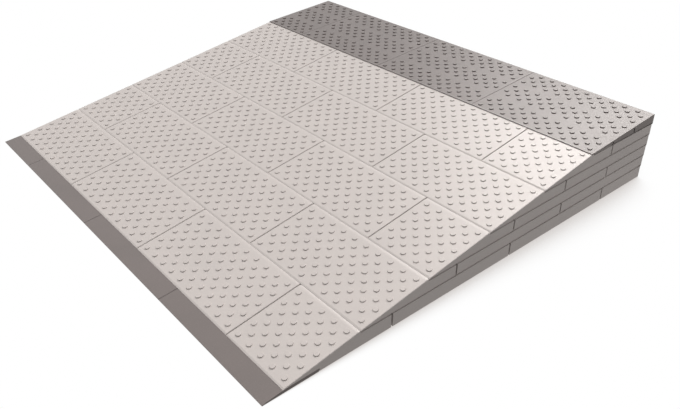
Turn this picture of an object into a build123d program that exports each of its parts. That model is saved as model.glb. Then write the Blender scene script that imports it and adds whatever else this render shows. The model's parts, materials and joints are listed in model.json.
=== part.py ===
from build123d import *
import os

# Modular threshold ramp: hollow moulded modules, keyed together and stacked in running bond.
# Millimetres. X runs across the ramp, +Y uphill to the door step, +Z up.
# The origin is on the floor, under the middle of the ramp's outline.

# Grid that every module is laid out on
pitch = 107.0  # half a module's width, and the run of one sloped row
columns = 7  # half modules across the ramp
slope_rows = 5  # light sloped rows between the edge strip and the top plates
layer = 17.4  # height of one stacked layer
sole = 1.1  # extra height of what stands on the floor
overlap = 49.1  # deck at the back of a module, which carries the next row's nose
block_run = 105.75  # run of a block behind the modules, a little less than a row's
joint = 1.0  # gap between neighbours across the ramp
fine_joint = 0.4  # and between neighbouring strips or plates
end_gap = 2.6  # gap between a module and the block behind it, and between blocks
row_gap = 0.5  # gap in front of a row's nose

# Moulding
skin = 2.5  # top of a module
wall = 3.0  # outer walls
rib = 2.4  # inner ribs
rim = 2.6  # height of the set-back rim at a module's foot
setback = 1.4  # how far that rim, and a deck's edge, stand back from the side
nose_start = 1.0  # from a row's grid line to the front edge of its nose
nose = 0.8  # height of the slope above the deck there
nose_lip = 0.25  # thickness of that edge, with a bevel up to the slope behind it
nose_bevel = 2.0  # run of the bevel
nose_groove = 1.3  # depth of the groove under a nose, where it starts
heel = 0.5  # from the end of the deck below to the front of a module's body
crest_roll = 5.0  # run of the rounded crest at the top of a slope
crest_flats = 3  # flats that the rounding is made of
edge_break = 0.6  # chamfer along the sides of a tread
fine_break = 0.3  # and along the sides of a strip or a plate

# Front edge strip
strip_run = 25.6  # sloping run in front of the first row's grid line
strip_lip = 1.0  # thickness of its front edge
tongue_clearance = 1.0  # from the end of its tongue to the first row's body

# Top plates
plate_front = 3.69  # height of the plate's slope at its grid line
plate_back = 15.94  # and at its back
plate_start = 1.8  # from that line to the front edge of the plate
plate_lap = 5.0  # how far a plate laps over the crest of the last row
plate_clearance = 0.4  # between a plate's nose and the deck it covers
cut_slit = 3.0  # slits under the two lines where a plate may be cut short
cut_skin = 2.0  # what is left of the plate over a slit

# Keys on the blocks, which enter the pockets of the module above
key_pocket = 49.6  # clear width of the pocket that takes a key
key_height = 2.4
key_clearance = 0.4

# Locking pins from a deck up into the nose that lies on it
pin_shank = 9.0
pin_flange = 1.5  # how far the head stands out from the shank
pin_head = 2.0  # thickness of the head
pin_rise = 2.0  # height of the shank above the deck
pin_clearance = 0.3

# Sizes that follow from the ones above
half_joint = joint / 2
half_gap = end_gap / 2
grade = layer / pitch
tread = rim + nose - grade * nose_start  # height of a sloped surface at its row's grid line
deck = layer + rim
crest = pitch + nose_start - row_gap
module_back = pitch + overlap - half_gap
nose_solid = (nose_groove + skin + rim - tread) / grade  # where the groove under a nose starts
plate_run = 1.5 * pitch
top_grade = (plate_back - plate_front) / plate_run
body_front = overlap + heel
plate_body = body_front + plate_lap  # front of a plate's body
strip_tongue = body_front - tongue_clearance  # end of a strip's tongue, under the first row
cut_lines = (plate_body - cut_slit / 2, pitch)
pin_width = pin_shank + 2 * pin_flange
socket = pin_shank + 2 * pin_clearance
socket_top = rim + pin_rise + pin_clearance
pin_inset = overlap - half_gap - wall - pin_width / 2 - pin_clearance
rib_inset = key_pocket / 2 + rib
key_front = half_gap + wall + pitch - block_run + key_clearance
key_end = pitch - overlap - plate_lap - cut_slit / 2 - rib - key_clearance
ramp_back = slope_rows * pitch - plate_lap + plate_run - half_joint
to_origin = Location((-columns * pitch / 2, (strip_run - ramp_back) / 2, 0))


def slope_height(y):
    return tread + grade * y


def plate_height(y):
    return plate_front + top_grade * y


def span_box(x, y, z):
    """Box between two limits on each axis."""
    size = [high - low for low, high in (x, y, z)]
    return Pos(x[0], y[0], z[0]) * Box(*size, align=Align.MIN)


def prism(outline, x):
    """Outline in Y and Z carried across the ramp between two X limits."""
    face = Plane.YZ.offset(x[0]) * Polygon(*outline, align=None)
    return extrude(face, amount=x[1] - x[0], dir=(1, 0, 0))


def sides(halves, gap=joint):
    return gap / 2, halves * pitch - gap / 2


def cell_centres(halves):
    return [(i + 0.5) * pitch for i in range(halves)]


def pockets_across(halves):
    """X limits of the pockets: one between each half module's two ribs, and one beside each rib."""
    left, right = sides(halves)
    edges = [left + wall]
    for centre in cell_centres(halves):
        edges += [centre - rib_inset, centre - key_pocket / 2]
        edges += [centre + key_pocket / 2, centre + rib_inset]
    edges.append(right - wall)
    return list(zip(edges[0::2], edges[1::2]))


def break_side_edges(solid, size=edge_break):
    """Chamfer the sides of the walked-on surface, which faces up and a little forward."""
    rising = solid.faces().filter_by(lambda face: 0 < -face.normal_at().Y < face.normal_at().Z)
    walked = rising.sort_by(SortBy.AREA)[-1]
    return chamfer(walked.edges().filter_by(Axis.X, reverse=True), size)


def side_cutters(halves, y, z, gap=joint):
    """Strips taken off a module's two sides, so that its foot or its deck stands back there."""
    left, right = sides(halves, gap)
    return [span_box(x, y, z) for x in ((left, left + setback), (right - setback, right))]


def pin_hole(x, y, z):
    return span_box((x - socket / 2, x + socket / 2), (y - socket / 2, y + socket / 2), z)


def groove_cutter(halves):
    """Groove that lightens the nose, in front of the solid band that holds the pins' sockets."""
    left, right = sides(halves)
    end = pin_inset - socket / 2 - wall
    outline = [
        (nose_solid, rim),
        (nose_solid, slope_height(nose_solid) - skin),
        (end, slope_height(end) - skin),
        (end, rim),
    ]
    return prism(outline, (left + wall, right - wall))


def rounded_crest():
    """Outline of a crest, which falls away from the slope as the square of the way, down to the deck."""
    drop = slope_height(crest) - deck
    ways = [i / crest_flats for i in range(crest_flats + 1)]
    places = [crest - crest_roll * (1 - way) for way in ways]
    return [(y, slope_height(y) - drop * way**2) for y, way in zip(places, ways)]


def slope_module(halves, foot):
    """Sloped module: a thin nose on the row in front, a hollow body, and a deck for the row behind.

    On the floor its foot is deeper and flush with its sides.
    """
    left, right = sides(halves)
    bevel_end = nose_start + nose_bevel
    outline = [(nose_start, rim), (nose_start, rim + nose_lip), (bevel_end, slope_height(bevel_end))]
    outline += rounded_crest()
    outline += [
        (module_back, deck),
        (module_back, -foot),
        (body_front, -foot),
        (body_front, rim),
    ]
    body = break_side_edges(prism(outline, (left, right)))
    front = body_front + wall
    hollow = [
        (front, -foot),
        (front, slope_height(front) - skin),
        ((deck - tread) / grade, deck - skin),
        (module_back - wall, deck - skin),
        (module_back - wall, -foot),
    ]
    cutters = side_cutters(halves, (crest, module_back), (layer, deck))
    if not foot:
        cutters += side_cutters(halves, (body_front, module_back), (0, rim))
    cutters += [prism(hollow, x) for x in pockets_across(halves)]
    cutters.append(groove_cutter(halves))
    for x in cell_centres(halves):
        cutters.append(pin_hole(x, pin_inset, (rim, socket_top)))
        cutters.append(pin_hole(x, pitch + pin_inset, (deck - skin, deck)))
    return body - cutters


def top_plate(halves):
    """Top plate: a flatter slope in three bays, with a slit under each line where it may be cut."""
    left, right = sides(halves, fine_joint)
    back_y = plate_run - half_joint
    under = rim + plate_clearance
    outline = [
        (plate_start, under),
        (plate_start, plate_height(plate_start)),
        (back_y - edge_break, plate_height(back_y - edge_break)),
        (back_y, plate_height(back_y) - edge_break),
        (back_y, 0),
        (plate_body, 0),
        (plate_body, under),
    ]
    plate = break_side_edges(prism(outline, (left, right)), fine_break)
    cutters = side_cutters(halves, (plate_body, back_y - setback), (0, rim), fine_joint)
    for line in cut_lines:
        before, after = line - cut_slit / 2, line + cut_slit / 2
        slit = [
            (before, 0),
            (before, plate_height(before) - cut_skin),
            (after, plate_height(after) - cut_skin),
            (after, 0),
        ]
        cutters.append(prism(slit, (left, right)))
    middle_bay = (plate_body + wall, cut_lines[1] - cut_slit / 2 - rib)
    back_bay = (cut_lines[1] + cut_slit / 2 + rib, back_y - wall)
    for near, far in (middle_bay, back_bay):
        hollow = [
            (near, 0),
            (near, plate_height(near) - skin),
            (far, plate_height(far) - skin),
            (far, 0),
        ]
        cutters += [prism(hollow, x) for x in pockets_across(halves)]
    cutters += [pin_hole(x, pin_inset + plate_lap, (rim, socket_top)) for x in cell_centres(halves)]
    return plate - cutters


def edge_strip(halves):
    """Front edge strip: a low wedge, and a tongue with pegs that goes under the first row's nose."""
    strip_back = nose_start - row_gap
    outline = [
        (-strip_run, -sole),
        (-strip_run, strip_lip - sole),
        (strip_back, rim + nose_lip),
        (strip_back, rim),
        (strip_tongue, rim),
        (strip_tongue, -sole),
    ]
    strip = break_side_edges(prism(outline, sides(halves, fine_joint)), fine_break)
    return strip + [Pos(x, pin_inset, rim) * square_peg(0, pin_rise) for x in cell_centres(halves)]


def square_peg(bottom, top, width=pin_shank):
    half = width / 2
    return span_box((-half, half), (-half, half), (bottom, top))


def lock_pin():
    """Square pin with a head, pushed up through a deck's hole; Z is 0 at the deck's top."""
    return square_peg(-skin, pin_rise) + square_peg(-skin - pin_head, -skin, pin_width)


def block(halves, runs, foot):
    """Flat block that fills a layer: open and ribbed below, with a key on top of each square."""
    left, right = sides(halves)
    front, back_y = half_gap, runs * block_run - half_gap
    solid = span_box((left, right), (front, back_y), (-foot, layer))
    if not foot:
        solid -= side_cutters(halves, (front, back_y - setback), (0, rim))
    for i in range(runs):
        near = front + wall if i == 0 else i * block_run + rib / 2
        far = back_y - wall if i == runs - 1 else (i + 1) * block_run - rib / 2
        solid -= [span_box(x, (near, far), (-foot, layer - skin)) for x in pockets_across(halves)]
    half_key = key_pocket / 2 - key_clearance
    key = span_box((-half_key, half_key), (key_front, key_end), (layer, layer + key_height))
    solid += [Pos(x, i * block_run, 0) * key for x in cell_centres(halves) for i in range(runs)]
    return solid


def bond(row):
    """Widths, in halves, of a row's modules: odd rows start with a whole one, even rows with a half."""
    widths = [] if row % 2 else [1]
    while sum(widths) + 2 <= columns:
        widths.append(2)
    if sum(widths) < columns:
        widths.append(1)
    return widths


def starts(widths):
    return [sum(widths[:i]) * pitch for i in range(len(widths))]


def whole_and_half(make, *sizes):
    return {halves: make(halves, *sizes) for halves in (1, 2)}


def foot_of(level):
    return sole if level == 1 else 0


def lay_row(name, modules, row, y, layers_below):
    """One row of modules across the ramp, each as a node of its own."""
    widths = bond(row)
    z = sole + layers_below * layer
    nodes = {}
    for number, (halves, x) in enumerate(zip(widths, starts(widths)), 1):
        nodes[f"{name}_{number}"] = Pos(x, y, z) * modules[halves]
    return nodes


def lay_blocks(level):
    """The blocks behind a layer's sloped modules: end blocks as nodes, inner ones as a group."""
    widths = bond(level)
    remaining = slope_rows + 1 - level
    y = level * pitch + overlap
    nodes = {}
    number = 1
    while remaining > 0:
        runs = min(2, remaining)
        modules = whole_and_half(block, runs, foot_of(level))
        corner = Pos(0, y, sole + (level - 1) * layer)
        placed = [corner * Pos(x, 0, 0) * modules[halves] for halves, x in zip(widths, starts(widths))]
        name = f"layer_{level}_block_{number}"
        nodes[f"{name}_left"] = placed[0]
        nodes[f"{name}_middle"] = Compound(children=placed[1:-1])
        nodes[f"{name}_right"] = placed[-1]
        remaining -= runs
        y += runs * block_run
        number += 1
    return nodes


plates = whole_and_half(top_plate)
strips = whole_and_half(edge_strip)
pin = lock_pin()

nodes = lay_row("edge_strip", strips, 0, 0, 0)
pins = []
for row in range(1, slope_rows + 1):
    slopes = whole_and_half(slope_module, foot_of(row))
    nodes |= lay_row(f"slope_row_{row}", slopes, row, (row - 1) * pitch, row - 1)
    nodes |= lay_blocks(row)
    deck_top = sole + row * layer + rim
    pins += [Pos(x, row * pitch + pin_inset, deck_top) * pin for x in cell_centres(columns)]
nodes |= lay_row("top_plate", plates, slope_rows + 1, slope_rows * pitch - plate_lap, slope_rows)
nodes["lock_pins"] = Compound(children=pins)

os.makedirs("parts", exist_ok=True)
for name, shape in nodes.items():
    export_step(to_origin * shape, f"parts/{name}.step")
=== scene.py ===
import bpy
import json
import math
import numpy as np
from mathutils import Matrix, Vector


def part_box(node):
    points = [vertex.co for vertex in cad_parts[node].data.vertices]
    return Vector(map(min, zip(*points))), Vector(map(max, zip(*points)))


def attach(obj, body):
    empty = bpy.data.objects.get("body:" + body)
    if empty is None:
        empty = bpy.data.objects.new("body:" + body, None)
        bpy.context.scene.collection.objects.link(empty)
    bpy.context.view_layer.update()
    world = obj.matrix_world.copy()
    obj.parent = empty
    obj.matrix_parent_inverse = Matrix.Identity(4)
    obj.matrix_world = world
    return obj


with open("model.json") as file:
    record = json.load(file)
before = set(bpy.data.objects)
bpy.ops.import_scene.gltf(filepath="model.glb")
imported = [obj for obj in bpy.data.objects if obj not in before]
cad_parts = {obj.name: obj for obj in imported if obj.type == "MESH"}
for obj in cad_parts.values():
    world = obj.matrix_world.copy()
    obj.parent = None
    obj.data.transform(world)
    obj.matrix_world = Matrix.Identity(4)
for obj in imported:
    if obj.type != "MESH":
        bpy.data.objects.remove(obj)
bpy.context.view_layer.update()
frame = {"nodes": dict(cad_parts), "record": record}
print("frame:", len(frame["nodes"]), "nodes")


# A socket that can stand in a sum: each operator adds one Math node
class Wire:
    def __init__(self, board, socket):
        self.board = board
        self.socket = socket

    def math(self, operation, first, second):
        return self.board.node("Math", {"operation": operation}, {0: first, 1: second})

    def __add__(self, other):
        return self.math("ADD", self, other)

    def __radd__(self, other):
        return self.math("ADD", other, self)

    def __sub__(self, other):
        return self.math("SUBTRACT", self, other)

    def __rsub__(self, other):
        return self.math("SUBTRACT", other, self)

    def __mul__(self, other):
        return self.math("MULTIPLY", self, other)

    def __rmul__(self, other):
        return self.math("MULTIPLY", other, self)


# The nodes of one material or of the world
class Board:
    def __init__(self, owner):
        owner.use_nodes = True
        self.tree = owner.node_tree
        self.tree.nodes.clear()

    # settings go in first, then socket values or wires; out picks the output that comes back
    def node(self, kind, settings=None, sockets=None, out=0):
        made = self.tree.nodes.new("ShaderNode" + kind)
        for name, value in (settings or {}).items():
            if name == "stops":
                self.setStops(made.color_ramp, value)
            else:
                setattr(made, name, value)
        for key, value in (sockets or {}).items():
            if isinstance(value, Wire):
                self.tree.links.new(value.socket, made.inputs[key])
            else:
                made.inputs[key].default_value = value
        return Wire(self, made.outputs[out]) if len(made.outputs) else None

    def setStops(self, ramp, stops):
        for element, (place, shade) in zip(ramp.elements, stops):
            element.position = place
            element.color = (shade, shade, shade, 1)

    def noise(self, where, look):
        sockets = {"Vector": where, "Scale": look["perMetre"], "Detail": look["detail"]}
        if "rough" in look:
            sockets["Roughness"] = look["rough"]
        return self.node("TexNoise", {}, sockets)

    # noise cut into patches: 0 up to the first value of its edge, 1 from the second
    def patches(self, where, look):
        start, full = look["edge"]
        return self.node("ValToRGB", {"stops": [(start, 0), (full, 1)]}, {"Fac": self.noise(where, look)})

    def mix(self, factor, first, second):
        return self.node("Mix", {"data_type": "RGBA"}, {0: factor, 6: first, 7: second}, out=2)

    # 1 for rays straight from the camera
    def looked(self):
        return self.node("LightPath", out="Is Camera Ray")

    # 1 for mirror-like and see-through bounces
    def mirrored(self):
        glossy = self.node("LightPath", out="Is Glossy Ray")
        through = self.node("LightPath", out="Is Transmission Ray")
        return glossy.math("MAXIMUM", glossy, through)


# Moulded plastic: a clouded base colour, fine flecks, and the grain of the mould
lightPlasticLook = {
    "colour": (0.576, 0.532, 0.510, 1),
    "cloudColour": (0.556, 0.515, 0.495, 1),
    "fleckColour": (0.646, 0.605, 0.583, 1),
    "rough": 0.329,
    "specular": 0.533,
}
darkPlasticLook = {
    "colour": (0.156, 0.130, 0.123, 1),
    "cloudColour": (0.146, 0.123, 0.116, 1),
    "fleckColour": (0.195, 0.168, 0.159, 1),
    "rough": 0.329,
    "specular": 0.533,
}
mouldGrain = {
    "clouds": {"perMetre": 22, "detail": 4, "edge": (0.35, 0.68)},  # noise where one starts and is full
    "flecks": {"perMetre": 900, "detail": 1, "edge": (0.58, 0.74)},
    "fleckShare": 0.5,   # how far a fleck goes to its own colour
    "smears": {"perMetre": 9, "detail": 3},
    "smearMiddle": 0.5,  # noise value that leaves the roughness as it is
    "roughSpread": 0.08,
    "grain": {"perMetre": 1500, "detail": 2, "rough": 0.6},
    "grainDepth": 0.00006,
    "grainStrength": 0.35,
}


def mouldedPlastic(name, look):
    material = bpy.data.materials.new(name)
    board = Board(material)
    where = board.node("TexCoord", out="Object")
    clouds = board.patches(where, mouldGrain["clouds"])
    flecks = board.patches(where, mouldGrain["flecks"])
    smears = board.noise(where, mouldGrain["smears"])
    grain = board.noise(where, mouldGrain["grain"])
    colour = board.mix(clouds, look["colour"], look["cloudColour"])
    colour = board.mix(flecks * mouldGrain["fleckShare"], colour, look["fleckColour"])
    rough = look["rough"] + mouldGrain["roughSpread"] * (smears - mouldGrain["smearMiddle"])
    bump = board.node("Bump", {}, {"Strength": mouldGrain["grainStrength"],
                                   "Distance": mouldGrain["grainDepth"], "Height": grain})
    surface = board.node("BsdfPrincipled", {}, {"Base Color": colour, "Roughness": rough, "Normal": bump,
                                                "Specular IOR Level": look["specular"]})
    board.node("OutputMaterial", {}, {"Surface": surface})
    return material


finishes = {
    "light_plastic": mouldedPlastic("lightPlastic", lightPlasticLook),
    "dark_plastic": mouldedPlastic("darkPlastic", darkPlasticLook),
}
slotOf = {part["node"]: part["material_slot"] for part in frame["record"]["subparts"]}
for name, node in frame["nodes"].items():
    node.data.materials.clear()
    node.data.materials.append(finishes[slotOf[name]])
print("finishes:", ", ".join(finishes))

# Anti-slip studs, in a staggered lattice over each tread
studs = {
    "step": 0.0107,       # lattice step, a tenth of half a module
    "start": {"slope": (-0.0010, -0.0003), "top": (-0.0007, -0.0008)},  # from a module's low corner
    "radius": 0.0037,
    "rise": 0.00115,
    "draft": 0.0002,      # how much narrower a stud is under its rounded edge than at its foot
    "edge": 0.0003,       # radius of that edge
    "edgePoints": 3,
    "sunk": 0.0003,       # how far a stud's foot goes below the tread
    "segments": 16,
    "rows": {"slope": 9, "top": 14},
    "bareRows": {"slope": (), "top": (5, 10)},  # a top plate is bare along its two cut lines
}

# How a tread's face is told from a module's other faces, by its normal
treadFace = {"up": 0.9, "forward": 0.01, "across": 0.01}


# The tread of a module as z = height + slope * y, read from its largest face that looks up and forward
def treadPlane(node):
    faces = frame["nodes"][node].data.polygons
    normals = np.empty(len(faces) * 3)
    centres = np.empty(len(faces) * 3)
    areas = np.empty(len(faces))
    faces.foreach_get("normal", normals)
    faces.foreach_get("center", centres)
    faces.foreach_get("area", areas)
    normals = normals.reshape(-1, 3)
    leaning = (normals[:, 2] > treadFace["up"]) & (normals[:, 1] < -treadFace["forward"])
    leaning &= np.abs(normals[:, 0]) < treadFace["across"]
    tread = np.argmax(areas * leaning)
    slope = -normals[tread, 1] / normals[tread, 2]
    centre = centres.reshape(-1, 3)[tread]
    return centre[2] - slope * centre[1], slope


# Lattice points of one module: every second crossing of a square grid, rows left out where bare
def studPlaces(low, width, kind):
    across = np.arange(1, round(width / studs["step"]))
    uphill = np.arange(1, studs["rows"][kind] + 1)
    column, row = np.meshgrid(across, uphill)
    kept = ((column + row) % 2 == 0) & ~np.isin(row, studs["bareRows"][kind])
    x, y = studs["start"][kind]
    return low[0] + x + column[kept] * studs["step"], low[1] + y + row[kept] * studs["step"]


# Flat-topped disc turned about the tread's normal: a wall, then a quarter round of radius e up to the
# top, e * (cos(t) - 1) outwards from the wall's top and e * (sin(t) - 1) up from the flat
def studMesh(name, x, y, height, slope):
    bend = np.linspace(0, math.pi / 2, studs["edgePoints"])
    out = studs["radius"] - studs["draft"] + studs["edge"] * (np.cos(bend) - 1)
    out = np.concatenate([[studs["radius"]], out])
    up = np.concatenate([[-studs["sunk"]], studs["rise"] + studs["edge"] * (np.sin(bend) - 1)])
    turn = np.linspace(0, 2 * math.pi, studs["segments"], endpoint=False)
    uphill = np.array([0, 1, slope]) / math.hypot(1, slope)
    normal = np.array([0, -slope, 1]) / math.hypot(1, slope)
    ring = np.cos(turn)[:, None] * np.array([1, 0, 0]) + np.sin(turn)[:, None] * uphill
    shell = (out[:, None, None] * ring + up[:, None, None] * normal).reshape(-1, 3)
    foot = np.stack([x, y, height + slope * y], axis=1)
    points = (foot[:, None, :] + shell).reshape(-1, 3)

    count = studs["segments"]
    here = np.arange(count)
    after = (here + 1) % count
    level = np.arange(len(out) - 1)[:, None] * count
    sides = np.stack([level + here, level + after, level + count + after, level + count + here], axis=-1)
    shift = np.arange(len(foot))[:, None, None] * len(shell)
    quads = (sides.reshape(-1, 4) + shift).reshape(-1, 4)
    tops = (len(shell) - count + here + shift[:, 0]).reshape(-1, count)
    floors = (here[::-1] + shift[:, 0]).reshape(-1, count)
    mesh = bpy.data.meshes.new(name)
    mesh.from_pydata(points.tolist(), [], quads.tolist() + tops.tolist() + floors.tolist())
    mesh.polygons.foreach_set("use_smooth", np.arange(len(mesh.polygons)) < len(quads))
    mesh.update()
    return mesh


def studField(node):
    low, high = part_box(node)
    kind = node.split("_")[0]
    height, slope = treadPlane(node)
    x, y = studPlaces(low, high.x - low.x, kind)
    mesh = studMesh("studs_" + node, x, y, height, slope)
    piece = bpy.data.objects.new(mesh.name, mesh)
    bpy.context.scene.collection.objects.link(piece)
    mesh.materials.append(finishes[slotOf[node]])
    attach(piece, "root")
    return len(x)


treads = [node for node in sorted(frame["nodes"]) if node.startswith(("slope_row", "top_plate"))]
print("studs:", sum(studField(node) for node in treads), "on", len(treads), "treads")

white = (1, 1, 1, 1)

# A soft lamp behind the ramp, whose sheen lies on its upper right end, a broad one on its left, and a sky
# that is even to matt surfaces
lighting = {
    "backLight": {"azimuth": -23.5, "elevation": 45.0, "sun": 2.071, "softness": 33.8},
    "leftLight": {"azimuth": -86.7, "elevation": 67.8, "sun": 0.722, "softness": 68.2},
    "tint": (1.0, 0.96, 0.93),
    "sky": 0.394,
    "haze": 0.603,   # how bright the backdrop is at the horizon in mirror-like bounces, 1 being white
    "hazeTop": 0.5,  # sine of the elevation from which it is white
}

# Pale floor. To the camera it is white, with a painted shadow beside the ramp: its emitted colour is
# darkened by how much of the sky the ramp hides, and the lamps cast no shadow on it. With h the hidden
# share, 0 on open floor and 1 at the ramp's foot, it goes 1 - h * h of the way from the painted shadow
# colour to white
floorLook = {
    "half": 6.0,
    "paintedShadow": (0.636, 0.600, 0.579, 1),  # painted shadow colour, right beside the ramp
    "openness": (0.50, 0.78),  # share of the sky seen at a wall's foot, and from which the floor is white
    "reach": 1.0,              # how far off the ramp can be and still hide sky
    "samples": 32,
    "tint": (1.0, 0.95, 0.92, 1),
    "fill": 0.250,             # how bright it is to matt surfaces
    "sheen": 0.734,            # and how bright in mirror-like bounces
}


def layFloor():
    side = np.array([-floorLook["half"], floorLook["half"]])
    x, y = np.meshgrid(side, side)
    corners = np.stack([x, y, np.zeros_like(x)], axis=-1).reshape(-1, 3)
    mesh = bpy.data.meshes.new("floor")
    mesh.from_pydata(corners.tolist(), [], [(0, 1, 3, 2)])
    floor = bpy.data.objects.new("floor", mesh)
    bpy.context.scene.collection.objects.link(floor)
    material = bpy.data.materials.new("paleFloor")
    board = Board(material)
    least, most = floorLook["openness"]
    sockets = {"Distance": floorLook["reach"]}
    sky = board.node("AmbientOcclusion", {"samples": floorLook["samples"]}, sockets, out="AO")
    hidden = 1 - board.node("MapRange", {}, {"Value": sky, "From Min": least, "From Max": most})
    # painted shadow: the floor's emitted colour goes dark where the ramp hides sky
    shade = board.mix(1 - hidden * hidden, floorLook["paintedShadow"], white)
    shown = board.node("Emission", {}, {"Color": shade})
    fill = board.node("Emission", {}, {"Color": floorLook["tint"], "Strength": floorLook["fill"]})
    sheen = board.node("Emission", {}, {"Color": floorLook["tint"], "Strength": floorLook["sheen"]})
    bounced = board.node("MixShader", {}, {0: board.mirrored(), 1: fill, 2: sheen})
    both = board.node("MixShader", {}, {0: board.looked(), 1: bounced, 2: shown})
    board.node("OutputMaterial", {}, {"Surface": both})
    mesh.materials.append(material)


layFloor()


def hangLamp(name):
    look = lighting[name]
    lamp = bpy.data.lights.new(name, "SUN")
    lamp.energy = look["sun"]
    lamp.color = lighting["tint"]
    lamp.angle = math.radians(look["softness"])
    sun = bpy.data.objects.new(name, lamp)
    turn = Matrix.Rotation(math.radians(-look["azimuth"]), 4, "Z")
    tilt = Matrix.Rotation(math.radians(look["elevation"] - 90), 4, "X")
    sun.matrix_world = turn @ tilt
    bpy.context.scene.collection.objects.link(sun)


def hangSky():
    world = bpy.data.worlds.new("sky")
    board = Board(world)
    where = board.node("TexCoord", out="Generated")
    up = board.node("SeparateXYZ", {}, {0: where}, out="Z")
    sockets = {"Value": up, "From Max": lighting["hazeTop"], "To Min": lighting["haze"]}
    rising = board.node("MapRange", {}, sockets)
    sky = lighting["sky"]
    strength = sky + (1 - sky) * board.looked() + (rising - sky) * board.mirrored()
    light = board.node("Background", {}, {"Color": white, "Strength": strength})
    board.node("OutputWorld", {}, {"Surface": light})
    bpy.context.scene.world = world


hangLamp("backLight")
hangLamp("leftLight")
hangSky()
print("lights: two lamps over a sky of", lighting["sky"])

# The photograph's viewpoint, fitted to the ramp's edges and joints
shot = {
    "place": (0.81394, -0.63857, 0.56971),
    "azimuth": -50.743,
    "elevation": 29.453,
    "roll": -0.455,
    "lens": 38.585,  # millimetres, like the sensor's width
    "sensor": 36,
    "shift": (0.02841, -0.05743),
}


def aimCamera():
    lens = bpy.data.cameras.new("photoCamera")
    lens.lens = shot["lens"]
    lens.sensor_width = shot["sensor"]
    lens.shift_x, lens.shift_y = shot["shift"]
    camera = bpy.data.objects.new("photoCamera", lens)
    turn = Matrix.Rotation(math.radians(-shot["azimuth"]), 4, "Z")
    tilt = Matrix.Rotation(math.radians(90 - shot["elevation"]), 4, "X")
    roll = Matrix.Rotation(math.radians(shot["roll"]), 4, "Z")
    camera.matrix_world = Matrix.Translation(shot["place"]) @ turn @ tilt @ roll
    bpy.context.scene.collection.objects.link(camera)
    bpy.context.scene.camera = camera


aimCamera()
bpy.context.scene.view_settings.view_transform = "Standard"
